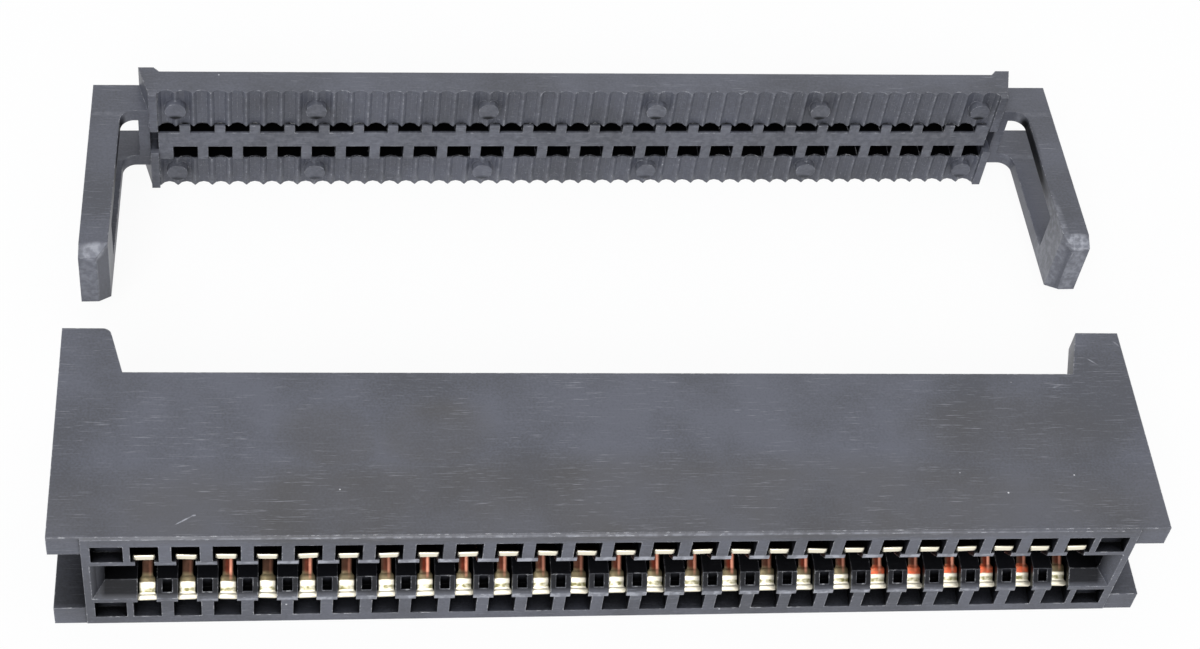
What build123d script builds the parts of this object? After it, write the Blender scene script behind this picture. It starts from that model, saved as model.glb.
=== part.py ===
import os
from math import cos, radians, sin

from build123d import *

# A 50 way card edge connector for flat cable, in its two mouldings: the body with its
# contacts, and the cover that presses the cable onto them, taken off and lying behind it.
# Millimetres. +X along the connector, +Y from the mating face towards the cover, +Z up.
# The origin is the middle of the body's underside.

# Contacts, with depths counted from the mating face
ways = 25
contact_pitch = 2.54
row_pitch = 2.54
strip_thickness = 0.3
head_width = 1.4
head_length = 0.35
head_inset = 0.3
head_rest_gap = 0.05
head_bend_depth = 0.65
pad_width = 1.0
pad_rise = 0.8
pad_end_depth = 1.25
beam_width = 0.72
crest_depth = 2.9
board_grip = 0.24
dip_depth = 5.0
dip_drop = 0.58
root_length = 3.8
fork_width = 1.5
fork_length = 2.4
fork_slit_width = 0.34
fork_bridge_length = 0.6
fork_mouth_width = 1.2
fork_mouth_length = 0.7

# Body
end_length = 5.92
housing_height = 9.9
housing_depth = 13.0
end_channel_depth = 2.05
end_channel_height = 6.25
end_wall = 0.45
end_face_step = 0.12
ear_length = 3.65
ear_root_width = 4.05
ear_tip_width = 3.08
ear_corner_radius = 0.6
face_edge_chamfer = 0.15
board_thickness = 1.57
board_clearance = 0.43
mouth_height = 3.9
lead_in_depth = 0.9
lead_in_side = 0.8
lip_thickness = 0.38
relief_wall = 0.3
relief_width = 0.62
pocket_width = 1.75
pocket_height = 1.7
notch_width = 1.2
back_wall = 3.4
stem_clearance = 0.03
blank_gap = 0.43
blank_pocket_width = 2.0
blank_pocket_depth = 0.8
latch_depth = 3.7
latch_ramp_length = 2.2
latch_height = 0.5
latch_width = 3.0

# Cover, with the place where it lies
cover_distance = 39.2
cover_shift = 0.63
cover_turn = 1.47
closed_gap = 0.38
arm_side_clearance = 0.05
arm_height_clearance = 0.22
left_arm_spread = 0.6
cover_end_clearance = 0.07
cover_back_setback = 0.47
bar_depth = 2.35
bar_draft = 0.2
bar_end_block = 1.5
bar_end_slope = 0.4
cable_slot_width = 1.78
upper_slot_height = 0.76
lower_slot_height = 1.35
cable_slot_depth = 2.0
slot_row_gap = 1.44
wire_groove_sides = 12
groove_crest_width = 0.06
pip_sides = 12
pip_diameter = 1.55
pip_row_spacing = 6.6
pip_height = 0.3
end_rib_width = 0.6
end_rib_height = 0.3
end_rib_length = 3.8
end_notch_depth = 1.2
arm_tip_bevel_length = 0.93
arm_tip_bevel_height = 0.55
arm_tip_chamfer_length = 0.88
arm_tip_chamfer_width = 0.8
arm_web_front = 0.2
arm_web_radius = 1.0
window_root_width = 0.8
window_root_height = 3.9
window_end_height = 3.3

# Lengths worked out from the sizes above
row_length = (ways - 1) * contact_pitch
wire_pitch = contact_pitch / 2
housing_half_length = row_length / 2 + end_length
overall_depth = housing_depth + ear_length
channel_floor = housing_half_length - end_channel_depth
mouth_half_length = channel_floor - end_wall
throat_half_length = mouth_half_length - lead_in_side
throat_height = board_thickness + board_clearance
shoulder_height = mouth_height / 2 + lip_thickness
cavity_depth = housing_depth - back_wall
fork_end_depth = housing_depth + fork_length
contact_positions = [(way - (ways - 1) / 2) * contact_pitch for way in range(ways)]

# Planes of the body, seen from above, from the mating face and from its right end. All
# three go through the middle of the mating face.
plan = Plane(origin=(0, -housing_depth / 2, housing_height / 2))
face = Plane(origin=plan.origin, x_dir=(1, 0, 0), z_dir=(0, -1, 0))
side = Plane(origin=plan.origin, x_dir=(0, 1, 0), z_dir=(1, 0, 0))
deck = face.offset(-housing_depth)

# Planes of the cover, through the middle of the face that meets the cable
cover_origin = (cover_shift, cover_distance - housing_depth / 2, housing_height / 2)
cover_plan = Plane(Location(cover_origin, (0, 0, cover_turn)))
cover_face = Plane(origin=cover_origin, x_dir=cover_plan.x_dir, z_dir=-cover_plan.y_dir)
cover_side = Plane(origin=cover_origin, x_dir=cover_plan.y_dir, z_dir=cover_plan.x_dir)

# Contact. From the side, the head rests under its pocket's shoulder, the beam climbs to the
# crest that touches the board and dips again, and the root plate runs through the back wall
# to the fork. A lower contact is drawn: an upper one is the same, turned over.
head_height = -shoulder_height - strip_thickness / 2 - head_rest_gap
crest_height = -board_thickness / 2 + board_grip - strip_thickness / 2
stem_height = -row_pitch / 2
fork_shift = wire_pitch / 2
root_left = -beam_width / 2
root_right = fork_shift + fork_width / 2

with BuildPart() as contact:
    with BuildSketch(side):
        with BuildLine() as strip_centre:
            Polyline(
                (head_inset, head_height),
                (head_bend_depth, head_height),
                (pad_end_depth, head_height + pad_rise),
                (crest_depth, crest_height),
                (dip_depth, stem_height - dip_drop),
                (housing_depth - root_length, stem_height),
                (fork_end_depth, stem_height),
            )
        trace(strip_centre.line, strip_thickness)
    extrude(amount=root_right, both=True)
    with BuildSketch(plan.offset(-housing_height / 2)):
        with Locations((0, head_inset)):
            Rectangle(head_width, head_length, align=(Align.CENTER, Align.MIN))
            Rectangle(pad_width, pad_end_depth - head_inset, align=(Align.CENTER, Align.MIN))
            Rectangle(beam_width, cavity_depth - head_inset, align=(Align.CENTER, Align.MIN))
        with Locations((root_left, cavity_depth)):
            Rectangle(root_right - root_left, back_wall, align=(Align.MIN, Align.MIN))
        with Locations((fork_shift, housing_depth)):
            Rectangle(fork_width, fork_length, align=(Align.CENTER, Align.MIN))
        with BuildLine():
            Polyline(
                (fork_shift - fork_slit_width / 2, housing_depth + fork_bridge_length),
                (fork_shift - fork_slit_width / 2, fork_end_depth - fork_mouth_length),
                (fork_shift - fork_mouth_width / 2, fork_end_depth),
                (fork_shift + fork_mouth_width / 2, fork_end_depth),
                (fork_shift + fork_slit_width / 2, fork_end_depth - fork_mouth_length),
                (fork_shift + fork_slit_width / 2, housing_depth + fork_bridge_length),
                close=True,
            )
        make_face(mode=Mode.SUBTRACT)
    extrude(amount=housing_height, mode=Mode.INTERSECT)

# Body. The block with an ear at each corner is cut open at both ends for the cover's arms.
with BuildPart() as housing:
    with BuildSketch(plan.offset(-housing_height / 2)):
        with Locations((0, 0)):
            Rectangle(2 * housing_half_length, housing_depth, align=(Align.CENTER, Align.MIN))
        with BuildLine():
            Polyline(
                (housing_half_length, housing_depth),
                (housing_half_length, overall_depth),
                (housing_half_length - ear_tip_width, overall_depth),
                (housing_half_length - ear_root_width, housing_depth),
                close=True,
            )
        make_face()
        mirror(about=Plane.YZ)
        left_tip = (ear_tip_width - housing_half_length, overall_depth)
        fillet(vertices().sort_by_distance(left_tip)[0], ear_corner_radius)
    extrude(amount=housing_height)
    chamfer(edges().group_by(Axis.Y)[0].filter_by(Axis.X), face_edge_chamfer)
    with BuildSketch(side):
        with Locations((housing_depth, 0)):
            Rectangle(ear_length, end_channel_height, align=(Align.MIN, Align.CENTER))
    extrude(amount=housing_half_length, both=True, mode=Mode.SUBTRACT)
    with BuildSketch(face):
        with GridLocations(channel_floor + housing_half_length, 1, 2, 1):
            Rectangle(end_channel_depth, end_channel_height)
    extrude(amount=-housing_depth, mode=Mode.SUBTRACT)
    with BuildSketch(face):
        with GridLocations(channel_floor + housing_half_length, 1, 2, 1):
            Rectangle(end_channel_depth, housing_height)
    extrude(amount=-end_face_step, mode=Mode.SUBTRACT)

    # The card slot, narrowing through its lead-in
    with BuildSketch(face):
        Rectangle(2 * mouth_half_length, mouth_height)
    with BuildSketch(face.offset(-lead_in_depth)):
        Rectangle(2 * throat_half_length, throat_height)
    loft(mode=Mode.SUBTRACT)
    with BuildSketch(face.offset(-lead_in_depth)):
        Rectangle(2 * throat_half_length, throat_height)
    extrude(amount=lead_in_depth - cavity_depth, mode=Mode.SUBTRACT)

    # A relief behind the lips between every two contacts
    with BuildSketch(face.offset(-relief_wall)):
        with GridLocations(contact_pitch, 1, ways - 1, 1):
            Rectangle(relief_width, mouth_height)
    extrude(amount=relief_wall - lead_in_depth, mode=Mode.SUBTRACT)

    # One pocket for each contact's head, with a notch through the lip into the slot, and
    # the slits in the back wall that hold the root plates
    with BuildSketch(face):
        with GridLocations(contact_pitch, 2 * shoulder_height + pocket_height, ways, 2):
            Rectangle(pocket_width, pocket_height)
        with GridLocations(contact_pitch, 1, ways, 1):
            Rectangle(notch_width, 2 * shoulder_height)
    extrude(amount=-cavity_depth, mode=Mode.SUBTRACT)
    with BuildSketch(deck):
        for row in (-1, 1):
            with Locations((-row * (root_left + root_right) / 2, row * row_pitch / 2)):
                with GridLocations(contact_pitch, 1, ways, 1):
                    Rectangle(
                        root_right - root_left + 2 * stem_clearance,
                        strip_thickness + 2 * stem_clearance,
                    )
    extrude(amount=back_wall, mode=Mode.SUBTRACT)

    # A blank pocket beyond each end of both rows
    blank_position = row_length / 2 + pocket_width / 2 + blank_gap + blank_pocket_width / 2
    with BuildSketch(face):
        with GridLocations(2 * blank_position, 2 * shoulder_height + pocket_height, 2, 2):
            Rectangle(blank_pocket_width, pocket_height)
    extrude(amount=-blank_pocket_depth, mode=Mode.SUBTRACT)

    # The catches on the channel floors that the cover's windows snap over
    with BuildSketch(plan):
        with BuildLine():
            Polyline(
                (channel_floor, latch_depth),
                (channel_floor + latch_height, latch_depth),
                (channel_floor, latch_depth + latch_ramp_length),
                close=True,
            )
        make_face()
        mirror(about=Plane.YZ)
    extrude(amount=latch_width / 2, both=True)

# Cover. Its bar fits between the ears and its arms fill the end channels when it is closed.
ear_slope = (ear_root_width - ear_tip_width) / ear_length
ear_gap_half_length = housing_half_length - ear_root_width + ear_slope * closed_gap
bar_half_length = ear_gap_half_length - cover_end_clearance
arm_inner = channel_floor + arm_side_clearance
arm_reach = housing_depth + closed_gap
arm_height = end_channel_height - 2 * arm_height_clearance
window_end = latch_depth - arm_reach
cover_back = ear_length - closed_gap - cover_back_setback
bar_flare = ear_slope * cover_back
bar_middle_half_length = bar_half_length + bar_flare - bar_end_block
window_start = bar_half_length + window_root_width
wire_count = 2 * ways
groove_radius = (wire_pitch - groove_crest_width) / 2 / sin(radians(60))
groove_centre = groove_radius * cos(radians(60))
wire_groove_depth = groove_radius - groove_centre
pip_ways = (0, 4, 9, 14, 19, 24)

with BuildPart() as cover:
    with BuildSketch(cover_plan):
        for end, spread in ((1, 0), (-1, left_arm_spread)):
            with BuildLine():
                Polyline(
                    (end * housing_half_length, cover_back),
                    (end * (housing_half_length + spread), -arm_reach),
                    (end * (arm_inner + spread + arm_tip_chamfer_width), -arm_reach),
                    (end * (arm_inner + spread), arm_tip_chamfer_length - arm_reach),
                    (end * arm_inner, arm_web_front),
                    (end * bar_middle_half_length, arm_web_front),
                    (end * bar_middle_half_length, cover_back),
                    close=True,
                )
            make_face()
            web_corner = (end * arm_inner, arm_web_front)
            fillet(vertices().sort_by_distance(web_corner)[0], arm_web_radius)
    extrude(amount=arm_height / 2, both=True)
    for end in (1, -1):
        with BuildSketch(cover_side.offset(end * window_start)):
            with BuildLine():
                Polyline(
                    (window_end, window_end_height / 2),
                    (cover_back, window_root_height / 2),
                    (cover_back, -window_root_height / 2),
                    (window_end, -window_end_height / 2),
                    close=True,
                )
            make_face()
            with BuildLine():
                Polyline(
                    (-arm_reach, arm_height / 2),
                    (arm_tip_bevel_length - arm_reach, arm_height / 2),
                    (-arm_reach, arm_height / 2 - arm_tip_bevel_height),
                    close=True,
                )
            make_face()
            mirror(about=Plane.XZ)
        extrude(amount=end * housing_half_length, mode=Mode.SUBTRACT)

    # The bar, with its ends slanted like the ears and deeper there than between them
    with BuildSketch(cover_face):
        Rectangle(2 * bar_half_length, housing_height)
    with BuildSketch(cover_face.offset(-cover_back)):
        Rectangle(2 * (bar_half_length + bar_flare), housing_height - 2 * bar_draft)
    loft()
    with BuildSketch(cover_plan):
        with BuildLine():
            Polyline(
                (bar_middle_half_length, bar_depth),
                (bar_middle_half_length + bar_end_slope, cover_back),
                (-bar_middle_half_length - bar_end_slope, cover_back),
                (-bar_middle_half_length, bar_depth),
                close=True,
            )
        make_face()
    extrude(amount=housing_height, both=True, mode=Mode.SUBTRACT)

    # Blind slots that take the contacts' forks, and beyond them the grooves for the wires of
    # the cable, running out over both long edges. Each groove is a third of a round with few
    # sides, as there are a hundred of them.
    for row, slot_height in ((1, upper_slot_height), (-1, lower_slot_height)):
        slot_outer_edge = slot_row_gap / 2 + slot_height
        with BuildSketch(cover_plan.offset(row * slot_outer_edge)):
            with Locations((0, -groove_centre)):
                with GridLocations(wire_pitch, 1, wire_count, 1):
                    RegularPolygon(groove_radius, wire_groove_sides)
        extrude(amount=row * (housing_height / 2 - slot_outer_edge), mode=Mode.SUBTRACT)
        with BuildSketch(cover_face):
            with Locations((-row * fork_shift, row * (slot_row_gap + slot_height) / 2)):
                with GridLocations(contact_pitch, 1, ways, 1):
                    Rectangle(cable_slot_width, slot_height)
        extrude(amount=-cable_slot_depth, mode=Mode.SUBTRACT)

    # Round pips on the crests, and at both ends of the cable's bed a pair of ribs with a
    # notch between them
    with BuildSketch(cover_face.offset(pip_height)):
        for way in pip_ways:
            with Locations((contact_positions[way], 0)):
                with GridLocations(1, pip_row_spacing, 1, 2):
                    RegularPolygon(pip_diameter / 2, pip_sides)
    extrude(amount=-pip_height - wire_groove_depth - groove_crest_width)
    rib_spacing = 2 * bar_half_length - end_rib_width
    with BuildSketch(cover_face.offset(end_rib_height)):
        with GridLocations(rib_spacing, housing_height - end_rib_length, 2, 2):
            Rectangle(end_rib_width, end_rib_length)
    extrude(amount=-end_rib_height - wire_groove_depth)
    with BuildSketch(cover_face):
        with GridLocations(rib_spacing, 1, 2, 1):
            Rectangle(end_rib_width, housing_height - 2 * end_rib_length)
    extrude(amount=-end_notch_depth, mode=Mode.SUBTRACT)

os.makedirs("parts", exist_ok=True)
housing.part.label = "housing"
export_step(housing.part, "parts/housing.step")
cover.part.label = "cover"
export_step(cover.part, "parts/cover.step")

for number, position in enumerate(contact_positions, start=1):
    with BuildPart() as lower_contact:
        with Locations((position, 0, 0)):
            add(contact.part)
    lower_contact.part.label = f"contact_lower_{number:02d}"
    export_step(lower_contact.part, f"parts/{lower_contact.part.label}.step")
    with BuildPart() as upper_contact:
        with Locations(Location((position, 0, housing_height), (0, 180, 0))):
            add(contact.part)
    upper_contact.part.label = f"contact_upper_{number:02d}"
    export_step(upper_contact.part, f"parts/{upper_contact.part.label}.step")
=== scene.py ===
from math import cos, radians, sin

import bpy
import numpy as np
from bpy.props import FloatProperty, FloatVectorProperty, PointerProperty
from bpy.types import Operator, Panel, PropertyGroup
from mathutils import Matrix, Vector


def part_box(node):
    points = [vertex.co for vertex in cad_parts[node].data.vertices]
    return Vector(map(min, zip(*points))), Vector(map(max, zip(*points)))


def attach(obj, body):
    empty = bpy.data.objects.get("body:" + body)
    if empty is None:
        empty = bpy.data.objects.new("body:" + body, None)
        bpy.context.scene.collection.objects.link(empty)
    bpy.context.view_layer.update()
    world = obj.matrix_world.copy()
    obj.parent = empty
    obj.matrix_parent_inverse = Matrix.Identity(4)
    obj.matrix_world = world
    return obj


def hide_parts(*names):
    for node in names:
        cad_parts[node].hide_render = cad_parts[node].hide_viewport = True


bl_info = {
    "name": "Card Edge Connector",
    "version": (1, 0, 0),
    "blender": (4, 5, 0),
    "location": "View3D > Sidebar > Connector",
    "description": "Finishes a card edge connector and its cable cover in a studio",
    "category": "Object",
}

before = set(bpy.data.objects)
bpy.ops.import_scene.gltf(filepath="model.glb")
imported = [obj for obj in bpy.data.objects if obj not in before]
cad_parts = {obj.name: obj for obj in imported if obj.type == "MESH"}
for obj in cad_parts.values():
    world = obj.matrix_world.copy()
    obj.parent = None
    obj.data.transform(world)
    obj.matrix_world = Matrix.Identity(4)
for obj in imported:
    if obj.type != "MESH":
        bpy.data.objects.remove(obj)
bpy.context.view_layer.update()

MM = 0.001
PHOTO_WIDTH = 1200
PHOTO_HEIGHT = 649

BODY_LOW, BODY_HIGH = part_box("housing")
MATING_FACE = BODY_LOW.y
SLOT_MIDDLE = (BODY_LOW.z + BODY_HIGH.z) / 2

# In millimetres from the middle of the mating face: the body's end and its top
BODY_END = BODY_HIGH.x / MM
BODY_TOP = (BODY_HIGH.z - SLOT_MIDDLE) / MM

# The contacts: their pitch in millimetres, how many a row has, the numbers of those that
# were heated, and the seed of how each stands and is worn
CONTACT_PITCH = 2.54
WAYS = 25
HEATED = range(20, 25)
SEED = 1932
CONTACT_NAMES = sorted(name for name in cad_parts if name.startswith("contact_"))

# The cover as it lies: the middle of its face in millimetres, its turn in degrees, and the
# ways that have a pip above and below, counted from 0 at the left
COVER_MIDDLE = (0.63, 32.7)
COVER_TURN = 1.47
PIP_WAYS = (0, 4, 9, 14, 19, 24)


def linear(hex_colour):
    """sRGB hex to linear RGBA: each channel over 255, then c / 12.92 below 0.04045 and
    ((c + 0.055) / 1.055) to the power 2.4 above it."""
    channels = [int(hex_colour[i:i + 2], 16) / 255 for i in (1, 3, 5)]
    return (*(c / 12.92 if c <= 0.04045 else ((c + 0.055) / 1.055) ** 2.4 for c in channels), 1.0)


def add_node(tree, kind, inputs=None, **settings):
    """Adds a shader node with its settings. An input is linked where it is given an output,
    and takes a number, a vector or a colour otherwise."""
    node = tree.nodes.new("ShaderNode" + kind)
    for name, value in settings.items():
        setattr(node, name, value)
    for name, value in (inputs or {}).items():
        if isinstance(value, bpy.types.NodeSocket):
            tree.links.new(value, node.inputs[name])
        else:
            node.inputs[name].default_value = value
    return node


def new_material(name):
    """An empty material and its node tree."""
    material = bpy.data.materials.new(name)
    material.use_nodes = True
    material.node_tree.nodes.clear()
    return material, material.node_tree


def on_body(along, deep, up):
    """A place given in millimetres from the middle of the mating face."""
    return (along * MM, MATING_FACE + deep * MM, SLOT_MIDDLE + up * MM)


def on_cover(along, deep, up):
    """A place given in millimetres from the middle of the cover's face, as the cover lies."""
    turn = radians(COVER_TURN)
    return (
        (COVER_MIDDLE[0] + along * cos(turn) - deep * sin(turn)) * MM,
        (COVER_MIDDLE[1] + along * sin(turn) + deep * cos(turn)) * MM,
        SLOT_MIDDLE + up * MM,
    )


def colour_property(name, description, hex_colour):
    """A colour that a user can pick, with its default as sRGB hex."""
    return FloatVectorProperty(
        name=name,
        description=description,
        subtype="COLOR",
        size=4,
        min=0.0,
        max=1.0,
        default=linear(hex_colour),
    )


def length_property(name, description, millimetres):
    """A length that a user can change, with its default in millimetres."""
    return FloatProperty(
        name=name,
        description=description,
        default=millimetres * MM,
        min=0.001 * MM,
        unit="LENGTH",
    )


class CONNECTOR_PG_mouldings(PropertyGroup):
    plastic: colour_property("Plastic", "Colour of the moulded plastic", "#595c68")
    plastic_cloud: colour_property("Cloud", "Colour where the skin is darker", "#484a52")
    worn: colour_property("Worn", "Colour of scuffed edges and of scratches", "#a4a7b1")
    chipped: colour_property("Chipped", "Colour of fresh nicks and specks of glass", "#e2e4ea")
    stain: colour_property("Stain", "Colour of the brownish handling marks", "#474544")
    # Painted shade: the colour that recesses, slots, shade marks and faces that look down are
    # darkened to
    painted_shade_colour: colour_property("Recess", "Colour that deep recesses fall to", "#040405")
    drag_length: length_property("Drag length", "Length of the fine drag marks", 1.6)
    drag_width: length_property("Drag width", "Width of the fine drag marks", 0.07)
    grain_size: length_property("Grain size", "Size of the fine mottle in the skin", 0.16)
    speck_spacing: length_property("Speck spacing", "Mean distance of the pale specks", 2.6)
    speck_size: length_property("Speck size", "Radius of the pale specks", 0.075)
    edge_radius: length_property("Edge radius", "Radius of the worn edges", 0.11)
    # How far the ambient occlusion reaches that paints shade into each moulding's recesses
    body_shade_reach: length_property("Body reach", "How far in the body's recesses go dark", 5.0)
    cover_shade_reach: length_property("Cover reach", "How far in the cover's grooves go dark", 0.45)


class CONNECTOR_PG_contacts(PropertyGroup):
    plating: colour_property("Plating", "Colour of the plated heads and pads", "#f1ebd8")
    # Painted shade: the plating's colour where the bend between the T and the pad lies in shade
    painted_bend_shade: colour_property("Plating shade", "Colour of the plating in bends", "#807b54")
    tarnish: colour_property("Tarnish", "Colour where the plating runs out", "#5b5340")
    # The bare strip's own colour, made darker than bronze is with painted shade for the beam deep
    # in the slot
    bronze: colour_property("Bronze", "Colour of the bare spring strip", "#2e211a")
    # Painted reflection: the dark red flank and the copper streak on the bare beam
    painted_streak_flank: colour_property("Ember", "Colour of the bare strip beside its streak", "#4a1a10")
    copper: colour_property("Copper", "Colour of the streak on the bare strip", "#efa48a")
    flame: colour_property("Flame", "Colour of the strip that was heated", "#cd5c3d")
    thickness: length_property("Strip thickness", "Thickness of the spring strip", 0.3)
    edge_radius: length_property("Strip edge", "Radius of the strip's stamped edges", 0.05)
    head_width: length_property("Head width", "Width across the T at the tip", 1.4)
    pad_width: length_property("Pad width", "Width of the plated pad", 1.06)
    beam_width: length_property("Beam width", "Width of the sprung beam", 0.74)
    spread: length_property("Spread", "How far a tip may stand off its place", 0.04)


class CONNECTOR_PG_studio(PropertyGroup):
    floor: colour_property("Floor", "Colour of the table", "#f4f5f7")
    key_power: FloatProperty(
        name="Key power",
        description="Power of the large lamp before the object",
        default=2.0,
        unit="POWER",
    )
    top_power: FloatProperty(
        name="Top power",
        description="Power of the large lamp above and behind",
        default=0.35,
        unit="POWER",
    )
    sky: FloatProperty(
        name="Sky",
        description="Strength of the even light all round",
        default=0.5,
        min=0.0,
    )


def mark_share(tree, place, kind, middle, half, angle, share):
    """How much of a mark a point has. A box of painted shade is full to near its borders. Any
    other mark is an oval, full to 0.6 of its half lengths."""
    inside = add_node(
        tree,
        "Mapping",
        {
            "Vector": place,
            "Location": tuple(middle),
            "Rotation": (0, 0, radians(angle)),
            "Scale": tuple(length * MM for length in half),
        },
        vector_type="TEXTURE",
    ).outputs[0]
    if kind != "hollow":
        away = add_node(
            tree, "VectorMath", {0: inside}, operation="LENGTH"
        ).outputs["Value"]
        return add_node(
            tree,
            "MapRange",
            {"Value": away, "From Min": 1.0, "From Max": 0.6, "To Max": share},
        ).outputs[0]
    across = add_node(tree, "VectorMath", {0: inside}, operation="ABSOLUTE").outputs[0]
    sides = add_node(tree, "SeparateXYZ", {"Vector": across}).outputs
    for axis, border in (("X", 0.985), ("Y", 0.94), ("Z", 0.96)):
        within = add_node(
            tree, "MapRange", {"Value": sides[axis], "From Min": 1.0, "From Max": border}
        ).outputs[0]
        share = add_node(tree, "Math", {0: share, 1: within}, operation="MULTIPLY").outputs[0]
    return share


def drag_marks(tree, place, settings):
    """Fine drag marks along X, in patches. Returns their noise, the share of them and the
    patches."""
    # Real marks are near 0.02 mm wide. They are drawn wider so that they show
    drag_place = add_node(
        tree,
        "Mapping",
        {
            "Vector": place,
            "Rotation": (0, 0, radians(-2)),
            "Scale": (
                1 / settings.drag_length,
                1 / settings.drag_width,
                1 / settings.drag_width,
            ),
        },
    ).outputs[0]
    drag = add_node(
        tree, "TexNoise", {"Vector": drag_place, "Scale": 1.0, "Detail": 2.0, "Roughness": 0.65}
    ).outputs[0]
    patches = add_node(
        tree, "TexNoise", {"Vector": place, "Scale": 1 / (5 * MM), "Detail": 2.0}
    ).outputs[0]
    patch_share = add_node(
        tree,
        "MapRange",
        {"Value": patches, "From Min": 0.4, "From Max": 0.65, "To Min": 0.15, "To Max": 0.65},
    ).outputs[0]
    lines = add_node(
        tree, "MapRange", {"Value": drag, "From Min": 0.6, "From Max": 0.76}
    ).outputs[0]
    drag_lines = add_node(
        tree, "Math", {0: lines, 1: patch_share}, operation="MULTIPLY"
    ).outputs[0]
    return drag, drag_lines, patches


def skin_mottle(tree, place, settings):
    """Soft clouds a few millimetres wide with a fine grain over them. Returns the clouds,
    the grain and the share of darker skin."""
    clouds = add_node(
        tree, "TexNoise", {"Vector": place, "Scale": 1 / (7 * MM), "Detail": 4.0}
    ).outputs[0]
    cloud_share = add_node(
        tree, "MapRange", {"Value": clouds, "From Min": 0.36, "From Max": 0.66}
    ).outputs[0]
    grain = add_node(
        tree, "TexNoise", {"Vector": place, "Scale": 1 / settings.grain_size, "Detail": 2.0}
    ).outputs[0]
    grain_share = add_node(
        tree,
        "MapRange",
        {"Value": grain, "From Min": 0.3, "From Max": 0.7, "To Min": -0.35, "To Max": 0.35},
    ).outputs[0]
    mottle = add_node(
        tree, "Math", {0: cloud_share, 1: grain_share}, operation="ADD"
    ).outputs[0]
    return clouds, grain, mottle


def glass_specks(tree, place, settings):
    """The share of pale specks. About four cells in ten have one."""
    cells = add_node(
        tree, "TexVoronoi", {"Vector": place, "Scale": 1 / settings.speck_spacing}
    )
    size = settings.speck_size / settings.speck_spacing
    near = add_node(
        tree,
        "MapRange",
        {"Value": cells.outputs["Distance"], "From Min": size, "From Max": size * 0.5},
    ).outputs[0]
    tint = add_node(tree, "SeparateColor", {"Color": cells.outputs["Color"]}).outputs[0]
    chosen = add_node(tree, "Math", {0: tint, 1: 0.62}, operation="GREATER_THAN").outputs[0]
    return add_node(tree, "Math", {0: near, 1: chosen}, operation="MULTIPLY").outputs[0]


def scuffed_edges(tree, place, settings, scuff):
    """Edges are where the rounded normal turns away from the face's. Returns both normals,
    the share of wear, which of it is coarsely chipped, and the share of fresh nicks."""
    rounded = add_node(tree, "Bevel", {"Radius": settings.edge_radius}, samples=4).outputs[0]
    flat = add_node(tree, "NewGeometry").outputs["True Normal"]
    turn = add_node(
        tree, "VectorMath", {0: rounded, 1: flat}, operation="DOT_PRODUCT"
    ).outputs["Value"]
    edge = add_node(
        tree,
        "MapRange",
        {"Value": turn, "From Min": 0.985, "From Max": 0.86, "To Max": scuff},
    ).outputs[0]
    chips = add_node(
        tree, "TexNoise", {"Vector": place, "Scale": 1 / (0.45 * MM), "Detail": 3.0}
    ).outputs[0]
    chip_share = add_node(
        tree,
        "MapRange",
        {"Value": chips, "From Min": 0.42, "From Max": 0.62, "To Min": 0.3, "To Max": 0.9},
    ).outputs[0]
    nick_place = add_node(
        tree,
        "Mapping",
        {"Vector": place, "Scale": (1 / (0.55 * MM), 1 / (0.3 * MM), 1 / (0.3 * MM))},
    ).outputs[0]
    nick = add_node(
        tree, "TexNoise", {"Vector": nick_place, "Scale": 1.0, "Detail": 1.0}
    ).outputs[0]
    nick_share = add_node(
        tree, "MapRange", {"Value": nick, "From Min": 0.57, "From Max": 0.64}
    ).outputs[0]
    nicks = add_node(tree, "Math", {0: edge, 1: nick_share}, operation="MULTIPLY").outputs[0]
    return rounded, flat, edge, chip_share, nicks


def marked_shares(tree, place, marks, edge):
    """The share that a point has of each kind of mark, with the edges' wear in the worn."""
    shares = {"worn": edge, "stain": 0.0, "shade": 0.0, "hollow": 0.0}
    for kind, *shape in marks:
        mark = mark_share(tree, place, kind, *shape)
        shares[kind] = add_node(
            tree, "Math", {0: shares[kind], 1: mark}, operation="MAXIMUM"
        ).outputs[0]
    return shares


def painted_shade_share(tree, flat, reach, open_share):
    """Painted shade: how shut in a point is within the reach, by ambient occlusion, in full
    where its face looks down, and by the open share elsewhere."""
    light = add_node(
        tree, "AmbientOcclusion", {"Distance": reach}, samples=6, only_local=True
    ).outputs["AO"]
    occlusion_shade = add_node(
        tree, "MapRange", {"Value": light, "From Min": 0.95, "From Max": 0.35}
    ).outputs[0]
    rise = add_node(tree, "SeparateXYZ", {"Vector": flat}).outputs["Z"]
    facing = add_node(
        tree,
        "MapRange",
        {"Value": rise, "From Min": -0.1, "From Max": -0.7, "To Min": open_share},
    ).outputs[0]
    return add_node(tree, "Math", {0: occlusion_shade, 1: facing}, operation="MULTIPLY").outputs[0]


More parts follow.
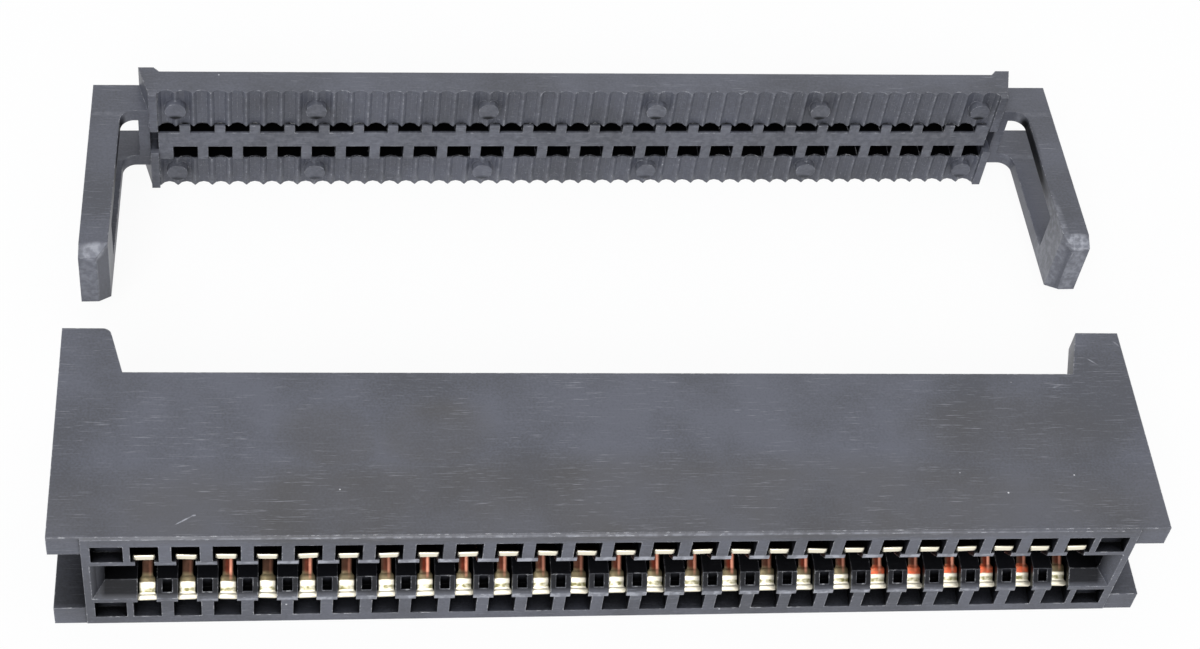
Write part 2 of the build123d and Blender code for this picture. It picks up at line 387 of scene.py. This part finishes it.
def moulded_polyester(name, settings, reach, open_share, scuff, marks):
    """Glass-filled polyester, injection moulded and handled. The skin is satin and slightly
    blue, mottled, with soft clouds, fine drag marks in patches and pale specks where glass
    shows. Sharp edges are scuffed pale and nicked. Shade is painted into the colour: pockets
    and slots fall off to black by ambient occlusion, faces that look down go as dark as that,
    and the others by the open share of it. The scuff is the share of wear on edges. Each mark
    is a worn, stained or painted-shade oval, or a box of painted shade: its middle, its half
    lengths in millimetres, its turn about Z in degrees and its share."""
    material, tree = new_material(name)
    place = add_node(tree, "TexCoord").outputs["Object"]
    drag, drag_lines, patches = drag_marks(tree, place, settings)
    clouds, grain, mottle = skin_mottle(tree, place, settings)
    specks = glass_specks(tree, place, settings)
    rounded, flat, edge, chip_share, nicks = scuffed_edges(tree, place, settings, scuff)
    pale = add_node(tree, "Math", {0: specks, 1: nicks}, operation="MAXIMUM").outputs[0]
    shares = marked_shares(tree, place, marks, edge)
    worn = add_node(
        tree, "Math", {0: shares["worn"], 1: chip_share}, operation="MULTIPLY"
    ).outputs[0]
    stain = add_node(
        tree, "Math", {0: shares["stain"], 1: patches}, operation="MULTIPLY"
    ).outputs[0]

    # Painted shade by ambient occlusion, together with the painted shade marks
    occlusion_shade = painted_shade_share(tree, flat, reach, open_share)
    deep = add_node(
        tree, "Math", {0: occlusion_shade, 1: shares["shade"]}, operation="MAXIMUM"
    ).outputs[0]

    # What lies on the plain skin, from the lowest to the uppermost. The shade boxes and the last
    # layer are painted shade
    base = tuple(settings.plastic)
    for share, colour in (
        (mottle, settings.plastic_cloud),
        (stain, settings.stain),
        (drag_lines, settings.worn),
        (shares["hollow"], settings.painted_shade_colour),
        (worn, settings.worn),
        (pale, settings.chipped),
        (deep, settings.painted_shade_colour),
    ):
        base = add_node(
            tree, "Mix", {0: share, 6: base, 7: tuple(colour)}, data_type="RGBA"
        ).outputs[2]

    # The relief of the skin, and its gloss, which falls where shade is painted
    height = add_node(tree, "Math", {0: grain, 1: drag}, operation="ADD").outputs[0]
    bump = add_node(
        tree,
        "Bump",
        {"Strength": 0.35, "Distance": 0.014 * MM, "Height": height, "Normal": rounded},
    ).outputs[0]
    smooth = add_node(
        tree,
        "MapRange",
        {"Value": clouds, "From Min": 0.3, "From Max": 0.7, "To Min": 0.36, "To Max": 0.52},
    ).outputs[0]
    dim = add_node(tree, "Math", {0: deep, 1: shares["hollow"]}, operation="MAXIMUM").outputs[0]
    gloss = add_node(
        tree, "MapRange", {"Value": dim, "To Min": 0.5, "To Max": 0.06}
    ).outputs[0]
    shader = add_node(
        tree,
        "BsdfPrincipled",
        {
            "IOR": 1.5,
            "Base Color": base,
            "Roughness": smooth,
            "Specular IOR Level": gloss,
            "Normal": bump,
        },
    ).outputs[0]
    add_node(tree, "OutputMaterial", {"Surface": shader})
    return material


def plated_bronze(settings):
    """Phosphor bronze strip, stamped and plated at its tip. The T and the pad are bright and
    creamy, with a band of painted olive shade in the bend between them. Behind the pad the
    plating runs out over a dull olive patch, and the beam is bare and brown, darkened by
    painted shade, with a painted copper highlight beside a painted dark red flank. Past the T
    the side that faces the wall has painted shade as dark as the bare strip. The piece's
    strip_place attribute gives the way along, across and through the strip in metres, and
    strip_wear_and_highlight how strong the painted highlight and its flank on its beam are,
    how much of its patch was heated and how far its pad is worn."""
    material, tree = new_material("phosphor_bronze_strip_plated")
    place = add_node(tree, "TexCoord").outputs["Object"]
    strip = add_node(tree, "Attribute", attribute_name="strip_place").outputs["Vector"]
    way = add_node(tree, "SeparateXYZ", {"Vector": strip}).outputs
    wear = add_node(tree, "Attribute", attribute_name="strip_wear_and_highlight").outputs["Vector"]
    amounts = add_node(tree, "SeparateXYZ", {"Vector": wear}).outputs
    sources = {"along": way["X"], "across": way["Y"], "through": way["Z"]}
    sources["worn_along"] = add_node(
        tree, "Math", {0: way["X"], 1: amounts["Z"]}, operation="ADD"
    ).outputs[0]
    smear = add_node(
        tree, "TexNoise", {"Vector": place, "Scale": 1 / (0.3 * MM), "Detail": 3.0}
    ).outputs[0]
    smeared = add_node(
        tree, "MapRange", {"Value": smear, "From Min": 0.35, "From Max": 0.62, "To Min": 0.3}
    ).outputs[0]

    # Zones of the strip, each a straight step between two distances in millimetres
    zones = {"smeared": smeared, "copper": amounts["X"], "heated": amounts["Y"]}
    for zone, source, low, high in (
        ("past_tip", "along", 0.46, 0.56),
        ("before_pad", "along", 0.86, 0.76),
        ("run_out", "worn_along", 1.12, 1.22),
        ("bare", "worn_along", 1.55, 1.85),
        ("lit_run", "worn_along", 1.2, 1.8),
        ("streak_side", "across", 0.04, 0.14),
        ("off_edge", "across", 0.31, 0.2),
        ("middle", "across", -0.28, -0.08),
        ("outer_side", "through", -0.02, -0.06),
        ("past_nose", "along", 0.08, 0.14),
    ):
        zones[zone] = add_node(
            tree,
            "MapRange",
            {"Value": sources[source], "From Min": low * MM, "From Max": high * MM},
        ).outputs[0]

    # A zone within a zone is their product
    for zone, first, second in (
        ("bend", "past_tip", "before_pad"),
        ("olive", "bend", "smeared"),
        ("streak", "streak_side", "off_edge"),
        ("glow", "middle", "off_edge"),
        ("copper_run", "lit_run", "copper"),
        ("lit_streak", "streak", "copper_run"),
        ("painted_flank", "glow", "copper_run"),
        ("heated_run", "run_out", "heated"),
        ("heated_patch", "heated_run", "smeared"),
        ("painted_shade_side", "outer_side", "past_nose"),
    ):
        zones[zone] = add_node(
            tree, "Math", {0: zones[first], 1: zones[second]}, operation="MULTIPLY"
        ).outputs[0]

    # Layers of colour. The olive of the bend and the dull side are painted shade, and the flank
    # and the streak are a painted reflection
    colour = tuple(settings.plating)
    for zone, above in (
        ("olive", settings.painted_bend_shade),
        ("run_out", settings.tarnish),
        ("heated_patch", settings.flame),
        ("bare", settings.bronze),
        ("painted_flank", settings.painted_streak_flank),
        ("lit_streak", settings.copper),
        # Painted shade on the side that faces the wall, past the T
        ("painted_shade_side", settings.bronze),
    ):
        colour = add_node(
            tree, "Mix", {0: zones[zone], 6: colour, 7: tuple(above)}, data_type="RGBA"
        ).outputs[2]
    rough = add_node(
        tree,
        "MapRange",
        {"Value": smear, "From Min": 0.3, "From Max": 0.7, "To Min": 0.36, "To Max": 0.52},
    ).outputs[0]
    bump = add_node(
        tree, "Bump", {"Strength": 0.4, "Distance": 0.02 * MM, "Height": smear}
    ).outputs[0]
    shader = add_node(
        tree,
        "BsdfPrincipled",
        {"Metallic": 1.0, "Base Color": colour, "Roughness": rough, "Normal": bump},
    ).outputs[0]
    add_node(tree, "OutputMaterial", {"Surface": shader})
    return material


def seen_share(tree):
    """1 for what the camera and glossy surfaces see of a surface, and 0 for its light."""
    seen = add_node(tree, "LightPath")
    return add_node(
        tree,
        "Math",
        {0: seen.outputs["Is Camera Ray"], 1: seen.outputs["Is Glossy Ray"]},
        operation="MAXIMUM",
    ).outputs[0]


def white_table(settings):
    """White laminate table, matt. It looks white to the camera and keeps a faint shadow."""
    material, tree = new_material("white_laminate_table")
    place = add_node(tree, "TexCoord").outputs["Object"]
    wear = add_node(
        tree, "TexNoise", {"Vector": place, "Scale": 1 / (60 * MM), "Detail": 2.0}
    ).outputs[0]
    shade = add_node(
        tree, "BsdfDiffuse", {"Color": tuple(settings.floor), "Roughness": wear}
    ).outputs[0]
    glow = add_node(tree, "Emission", {"Color": (1, 1, 1, 1), "Strength": 1.0}).outputs[0]
    share = add_node(
        tree, "Math", {0: seen_share(tree), 1: 0.93}, operation="MULTIPLY"
    ).outputs[0]
    mixed = add_node(tree, "MixShader", {0: share, 1: shade, 2: glow}).outputs[0]
    add_node(tree, "OutputMaterial", {"Surface": mixed})
    return material


def dress(node_name, material):
    """Gives a CAD node its finish."""
    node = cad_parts[node_name]
    node.data.materials.clear()
    node.data.materials.append(material)


# The marks on each moulding: kind, middle from the middle of its face and half lengths in
# millimetres, turn in degrees and share. The slot's lips are 2.14 mm from its middle
BODY_MARKS = [
    # Nicks and scratches in the top
    ("worn", (-28.0, 1.4, BODY_TOP), (0.75, 0.06, 0.2), 32, 1.3),
    ("worn", (-27.45, 1.72, BODY_TOP), (0.16, 0.07, 0.2), 10, 1.3),
    ("worn", (34.0, 14.1, BODY_TOP), (0.5, 0.07, 0.2), -40, 0.7),
    ("worn", (36.1, 15.7, BODY_TOP), (0.3, 0.1, 0.2), -50, 0.7),
    ("worn", (30.9, 11.9, BODY_TOP), (0.4, 0.08, 0.2), 20, 0.5),
    # The edges that rub: the top's front edge and both lips of the slot
    ("worn", (0.0, 0.0, BODY_TOP - 0.1), (37.0, 0.12, 0.16), 0, 0.5),
    ("worn", (0.0, 0.0, -2.14), (33.0, 0.1, 0.26), 0, 1.3),
    ("worn", (0.0, 0.0, 2.14), (33.0, 0.1, 0.26), 0, 1.3),
    # Handling marks on the top
    ("stain", (-12.2, 8.0, BODY_TOP), (4.6, 3.4, 1.0), 15, 0.8),
    ("stain", (-19.0, 7.6, BODY_TOP), (4.0, 3.0, 1.0), -20, 0.7),
    ("stain", (27.0, 8.0, BODY_TOP), (9.0, 4.0, 1.0), 0, 0.5),
    # Darker over the front of the top: painted shade, where the top's sheen falls off
    ("stain", (0.0, 2.0, BODY_TOP), (50.0, 5.0, 1.0), 0, 0.9),
    # Painted shade in the slot, and in the channel at the left end
    ("hollow", (0.0, 4.2, 0.0), (33.6, 4.18, 2.3), 0, 0.82),
    ("hollow", (1.15 - BODY_END, 6.6, 0.0), (1.7, 6.5, 3.2), 0, 0.75),
]
COVER_MARKS = [
    # The arms' tips, with their bevels and fronts
    ("worn", (-35.8, -13.2, 2.7), (1.4, 1.0, 0.8), 0, 0.9),
    ("worn", (-36.0, -13.4, 0.0), (1.4, 0.15, 3.4), 0, 0.4),
    ("worn", (35.4, -13.2, 2.7), (1.5, 1.0, 0.8), 0, 1.1),
    ("worn", (35.4, -13.4, 0.0), (1.4, 0.15, 3.4), 0, 0.6),
    ("worn", (34.4, -11.9, 0.4), (0.6, 4.5, 7.0), 0, 0.45),
    # The crests of the grooved face
    ("worn", (0.0, -0.1, 0.0), (60.0, 0.4, 9.0), 0, 0.2),
    # Painted shade in the blind slots, and on the inner sides of the arms' upper rails
    ("hollow", (0.0, 1.115, -0.32), (32.2, 0.965, 1.9), 0, 1.0),
    ("shade", (34.4, -3.0, 2.1), (0.5, 5.5, 0.95), 0, 0.95),
    ("shade", (-34.4, -5.0, 2.1), (0.5, 8.0, 0.95), 0, 0.9),
]

# Painted shade on the lower halves of the pips, which stand 3.3 mm above and below the face's
# middle
COVER_MARKS += [
    ("shade", (CONTACT_PITCH * (way - WAYS // 2), 0.0, up), (0.85, 0.8, 0.45), 0, share)
    for up, share in ((3.3 - 0.75, 0.9), (-3.3 - 0.75, 0.55))
    for way in PIP_WAYS
]


class CONNECTOR_OT_mouldings(Operator):
    """Finish the body and the cover"""

    bl_idname = "connector.mouldings"
    bl_label = "Finish Mouldings"

    def execute(self, context):
        settings = context.scene.connector_mouldings
        for node, on_moulding, lies_turned, reach, open_share, scuff, marks in (
            ("housing", on_body, 0.0, settings.body_shade_reach, 1.0, 1.0, BODY_MARKS),
            ("cover", on_cover, COVER_TURN, settings.cover_shade_reach, 0.15, 0.5, COVER_MARKS),
        ):
            placed = [
                (kind, on_moulding(*middle), half, lies_turned + angle, share)
                for kind, middle, half, angle, share in marks
            ]
            name = f"glass_filled_polyester_{node}"
            dress(node, moulded_polyester(name, settings, reach, open_share, scuff, placed))
        return {"FINISHED"}


def smoothed_line(corners, reach, finest):
    """Points of a bent strip's centre line as rows of way, depth and height. The straight
    runs between the corners are sampled evenly by length, then each point becomes the mean
    of its neighbours within the reach, which rounds the bends."""
    corners = np.array(corners, dtype=float)
    way = np.concatenate(([0.0], np.cumsum(np.hypot(*np.diff(corners, axis=0).T))))
    even = np.arange(0.0, way[-1], finest)
    depth, height = (np.interp(even, way, column) for column in corners.T)
    width = 2 * int(reach / finest / 2) + 1
    window = np.ones(width) / width
    lines = []
    for line in (depth, height):
        before = line[0] + (line[1] - line[0]) * np.arange(-(width // 2), 0)
        after = line[-1] + (line[-1] - line[-2]) * np.arange(1, width // 2 + 1)
        lines.append(np.convolve(np.concatenate((before, line, after)), window, mode="valid"))
    return np.stack((even, *lines), axis=1)


def strip_section(thickness, radius, corner_points=3):
    """A strip's cross section as three rows: 1 for a point tied to the right edge and 0 for
    the left, how far it stands in from that edge, and its height. Each corner is a quarter
    circle: in = r - r cos a, height = t / 2 - r + r sin a, for a from 0 to 90 degrees."""
    turn = np.linspace(0, np.pi / 2, corner_points)
    stand_in = radius - radius * np.cos(turn)
    rise = thickness / 2 - radius + radius * np.sin(turn)
    side = np.repeat((1.0, 0.0, 0.0, 1.0), corner_points)
    inward = np.concatenate((stand_in, stand_in[::-1], stand_in, stand_in[::-1]))
    height = np.concatenate((rise, rise[::-1], -rise, -rise[::-1]))
    return side, inward, height


def carried_strip(line, edges, thickness, radius, nose, swell=0.0):
    """A strip carried along its centre line. At way s the section stands square to the line,
    from left(s) to right(s) across it, thicker by swell(s), and within a nose's radius r of
    both ends it thins by r - sqrt(r^2 - d^2) a side, with d the way into that radius, and
    its edges draw in by half of that. Returns points, faces and the way along, across and
    through of each point, in millimetres."""
    way, depth, height = line.T
    left, right = (np.interp(way, edges[:, 0], edges[:, column]) for column in (1, 2))
    side, inward, rise = strip_section(thickness, radius)
    into = np.clip(nose - np.minimum(way - way[0], way[-1] - way), 0, nose)
    thin = nose - np.sqrt(nose**2 - into**2) - swell / 2
    slope = np.arctan2(np.gradient(height), np.gradient(depth))
    across = (
        left[:, None] * (1 - side) + right[:, None] * side
        + (1 - 2 * side) * (inward + np.maximum(thin, 0)[:, None] * 0.5)
    )
    lift = np.sign(rise) * (np.abs(rise) - thin[:, None])
    deep = depth[:, None] - lift * np.sin(slope)[:, None]
    high = height[:, None] + lift * np.cos(slope)[:, None]
    points = np.stack((across, deep, high), axis=-1)
    rings, ring = across.shape
    start = np.arange(rings - 1)[:, None] * ring
    here = np.arange(ring)[None, :]
    following = (here + 1) % ring
    quads = np.stack(
        (start + here, start + ring + here, start + ring + following, start + following),
        axis=-1,
    )
    faces = quads.reshape(-1, 4).tolist()
    faces.append(list(range(ring)))
    faces.append(list(range(rings * ring - 1, (rings - 1) * ring - 1, -1)))
    strip_place = np.stack((np.broadcast_to(way[:, None], across.shape), across, lift), axis=-1)
    return points.reshape(-1, 3), faces, strip_place.reshape(-1, 3)


def contact_shape(settings, upper):
    """One contact in millimetres, from its own middle on the mating face at the slot's
    middle. A lower one lies as drawn, and an upper one is the same turned over."""
    thickness, radius = settings.thickness / MM, settings.edge_radius / MM
    head = settings.head_width / MM / 2
    pad = settings.pad_width / MM / 2
    beam = settings.beam_width / MM / 2

    # How deep and high the T stands, how far its tip droops and how much thicker it is
    tip_depth, head_height, droop, swelling = 0.3, -2.45, 0.12, 0.03
    if upper:
        tip_depth, head_height, droop, swelling = 0.14, -2.55, 0.01, 0.14
    root_height = -1.27

    # Depth and height of the line's corners: along the T, over the pad and up to the crest,
    # and down the beam into the root
    corners = [
        (tip_depth, head_height - droop),
        (tip_depth + 0.4, head_height + droop),
        (1.16, -1.86),
        (2.9, -0.695),
        (5.0, -1.85),
        (9.2, root_height),
        (10.4, root_height),
    ]
    line = smoothed_line(corners, 0.3, 0.02)
    nose = 0.1
    end = line[-1, 0] - nose
    wanted = np.concatenate((
        np.linspace(0, nose, 5),
        np.arange(0.14, 2.4, 0.06),
        np.arange(2.5, end, 0.22),
        end + np.linspace(0, nose, 4),
    ))
    line = np.stack([np.interp(wanted, line[:, 0], column) for column in line.T], axis=1)

    # Half the width by the way along: the T, the pad and the beam
    half_widths = np.array([
        (0.0, head - 0.16),
        (0.05, head - 0.07),
        (0.12, head - 0.015),
        (0.2, head),
        (0.33, head),
        (0.4, pad + 0.03),
        (0.5, pad),
        (1.4, pad),
        (1.5, pad - 0.05),
        (1.6, beam),
        (20.0, beam),
    ])
    edges = np.stack((half_widths[:, 0], -half_widths[:, 1], half_widths[:, 1]), axis=1)

    # The T is swollen up to 0.2 mm along, and less from there to 0.45 mm
    swell = swelling * np.clip((0.45 - line[:, 0]) / 0.25, 0, 1)
    parts = [carried_strip(line, edges, thickness, radius, nose, swell)]

    # The root plate and the two tines of its fork, whose inner sides meet in the plate
    middle, half, slit, mouth = 0.635, 0.75, 0.17, 0.6
    plate_start, plate_edge, plate_end, tine_tip = 9.62, -0.36, 3.405, 5.78
    ways = np.array([0.0, 3.4, 3.41, 3.99, 4.0, 5.1, tine_tip])
    samples = np.concatenate((
        np.linspace(0, 0.05, 3),
        [1.7, 3.4, 3.41, 3.99, 4.0, 4.5, 5.1],
        np.linspace(tine_tip - 0.04, tine_tip, 3),
    ))
    plate = np.stack(
        (samples, plate_start + samples, np.full_like(samples, root_height)), axis=1
    )
    for side in (-1, 1):
        widest = plate_edge if side < 0 else middle + half
        outer = np.where(ways < plate_end, widest, middle + side * half)
        inner = middle + side * np.array([0.0, 0.0, 0.0, 0.0, slit, slit, mouth])
        fork = np.stack((ways, np.minimum(outer, inner), np.maximum(outer, inner)), axis=1)
        parts.append(carried_strip(plate, fork, thickness, min(radius, 0.04), 0.04))

    # Past the beam the fork counts as bare strip, so its ways start at 6 mm
    points, faces, places = [], [], []
    count = 0
    for part_points, part_faces, part_places in parts:
        points.append(part_points)
        places.append(part_places + ((6.0, 0, 0) if count else (0, 0, 0)))
        faces += [[corner + count for corner in face] for face in part_faces]
        count += len(part_points)
    points, places = np.concatenate(points), np.concatenate(places)
    if upper:
        points *= (-1, 1, -1)
        places *= (1, -1, 1)
    return points, faces, places


class CONNECTOR_OT_contacts(Operator):
    """Lay the fifty contacts as stamped and bent strips, each in its node's place"""

    bl_idname = "connector.contacts"
    bl_label = "Lay Contacts"

    def execute(self, context):
        settings = context.scene.connector_contacts
        material = plated_bronze(settings)
        shapes = {row: contact_shape(settings, row == "upper") for row in ("lower", "upper")}
        spread = settings.spread / MM
        chance = np.random.default_rng(SEED)
        for name in CONTACT_NAMES:
            row, number = name.split("_")[1:]
            number = int(number)
            points, faces, places = shapes[row]

            # The sprung end of each stands a little off its place, and is rolled a little.
            # The lower row's stand further in and up by their number
            sprung = np.clip((2.9 - points[:, 1]) / 2.6, 0, 1)
            aside, lift, roll = chance.uniform(-1, 1, 3) * (spread, spread, 0.06)
            further = number / WAYS if row == "lower" else 0.0
            points = points + sprung[:, None] * (aside, 0.14 * further, lift + 0.04 * further)
            points[:, 2] += sprung * roll * points[:, 0]

            # The painted copper highlight on the beams is stronger by their number
            copper = np.clip(0.03 * number + chance.uniform(-0.5, 0.55), 0.05, 0.9)
            heated = 0.9 if number in HEATED else 0.0
            low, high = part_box(name)
            half_head = settings.head_width / 2
            middle = high.x - half_head if row == "upper" else low.x + half_head
            mesh = bpy.data.meshes.new(name.replace("contact", "spring"))
            points = points * MM + (middle, MATING_FACE, SLOT_MIDDLE)
            mesh.from_pydata(points.tolist(), [], faces)
            wear = np.broadcast_to((copper, heated, 0.15 * MM * further), places.shape)
            for label, values in (("strip_place", places * MM), ("strip_wear_and_highlight", wear)):
                attribute = mesh.attributes.new(label, "FLOAT_VECTOR", "POINT")
                attribute.data.foreach_set("vector", values.astype(np.float32).ravel())
            mesh.polygons.foreach_set("use_smooth", np.ones(len(mesh.polygons), dtype=bool))
            mesh.materials.append(material)
            piece = bpy.data.objects.new(mesh.name, mesh)
            context.scene.collection.objects.link(piece)
            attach(piece, "root")
            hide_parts(name)
        return {"FINISHED"}


def area_lamp(name, size, power, place, turn):
    """A square lamp of a size in metres and a power in watts, at a place in metres and
    turned by X, Y and Z angles in degrees."""
    lamp = bpy.data.lights.new(name, "AREA")
    lamp.size = size
    lamp.energy = power
    holder = bpy.data.objects.new(name, lamp)
    holder.location = place
    holder.rotation_euler = [radians(angle) for angle in turn]
    bpy.context.scene.collection.objects.link(holder)


class CONNECTOR_OT_studio(Operator):
    """Set the table, the lamps and the camera"""

    bl_idname = "connector.studio"
    bl_label = "Set Studio"

    # The camera's place and turn in degrees, its focal length in the photo's pixels, the
    # photo's pixel on the lens axis and its sensor in millimetres, and the table in metres
    camera_place = (-22.594 * MM, -89.543 * MM, 134.912 * MM)
    camera_turn = (40.395, -7.427, -5.601)
    focal_pixels = 2358.272
    image_centre = (660, 270)
    sensor = 36.0
    table_half = 3.0

    def execute(self, context):
        settings = context.scene.connector_studio
        scene = context.scene
        half = self.table_half
        floor_mesh = bpy.data.meshes.new("table")
        corners = [(-half, -half, 0), (half, -half, 0), (half, half, 0), (-half, half, 0)]
        floor_mesh.from_pydata(corners, [], [(0, 1, 2, 3)])
        floor_mesh.materials.append(white_table(settings))
        floor = bpy.data.objects.new("table", floor_mesh)
        scene.collection.objects.link(floor)

        world = bpy.data.worlds.new("studio_air")
        world.use_nodes = True
        tree = world.node_tree
        tree.nodes.clear()
        strength = add_node(
            tree,
            "MapRange",
            {"Value": seen_share(tree), "To Min": settings.sky, "To Max": 1.0},
        ).outputs[0]
        air = add_node(
            tree, "Background", {"Color": (1, 1, 1, 1), "Strength": strength}
        ).outputs[0]
        add_node(tree, "OutputWorld", {"Surface": air})
        scene.world = world

        area_lamp("key_lamp", 0.3, settings.key_power, (-0.12, -0.38, 0.4), (45, 0, -17))
        area_lamp("top_lamp", 0.5, settings.top_power, (0.08, 0.3, 0.5), (-31, 0, 15))

        lens = bpy.data.cameras.new("camera")
        lens.sensor_fit = "HORIZONTAL"
        lens.sensor_width = self.sensor
        lens.lens = self.focal_pixels / PHOTO_WIDTH * self.sensor
        lens.shift_x = (PHOTO_WIDTH / 2 - self.image_centre[0]) / PHOTO_WIDTH
        lens.shift_y = (self.image_centre[1] - PHOTO_HEIGHT / 2) / PHOTO_WIDTH
        lens.clip_start = 0.005
        camera = bpy.data.objects.new("camera", lens)
        camera.location = self.camera_place
        camera.rotation_euler = [radians(angle) for angle in self.camera_turn]
        scene.collection.objects.link(camera)
        scene.camera = camera
        scene.view_settings.view_transform = "Standard"
        return {"FINISHED"}


class CONNECTOR_PT_panel(Panel):
    """Sidebar panel with the steps and their settings"""

    bl_label = "Card Edge Connector"
    bl_idname = "CONNECTOR_PT_panel"
    bl_space_type = "VIEW_3D"
    bl_region_type = "UI"
    bl_category = "Connector"

    def draw(self, context):
        scene = context.scene
        for group, kind in SETTINGS.items():
            for name in kind.__annotations__:
                self.layout.prop(getattr(scene, group), name)
        for step in STEPS:
            self.layout.operator(step.bl_idname)


SETTINGS = {
    "connector_mouldings": CONNECTOR_PG_mouldings,
    "connector_contacts": CONNECTOR_PG_contacts,
    "connector_studio": CONNECTOR_PG_studio,
}
STEPS = (CONNECTOR_OT_mouldings, CONNECTOR_OT_contacts, CONNECTOR_OT_studio)
CLASSES = (*SETTINGS.values(), *STEPS, CONNECTOR_PT_panel)


def register():
    for item in CLASSES:
        bpy.utils.register_class(item)
    for name, settings in SETTINGS.items():
        setattr(bpy.types.Scene, name, PointerProperty(type=settings))


def unregister():
    for name in SETTINGS:
        delattr(bpy.types.Scene, name)
    for item in reversed(CLASSES):
        bpy.utils.unregister_class(item)


def main():
    register()
    bpy.ops.connector.mouldings()
    bpy.ops.connector.contacts()
    bpy.ops.connector.studio()


if __name__ == "__main__":
    main()
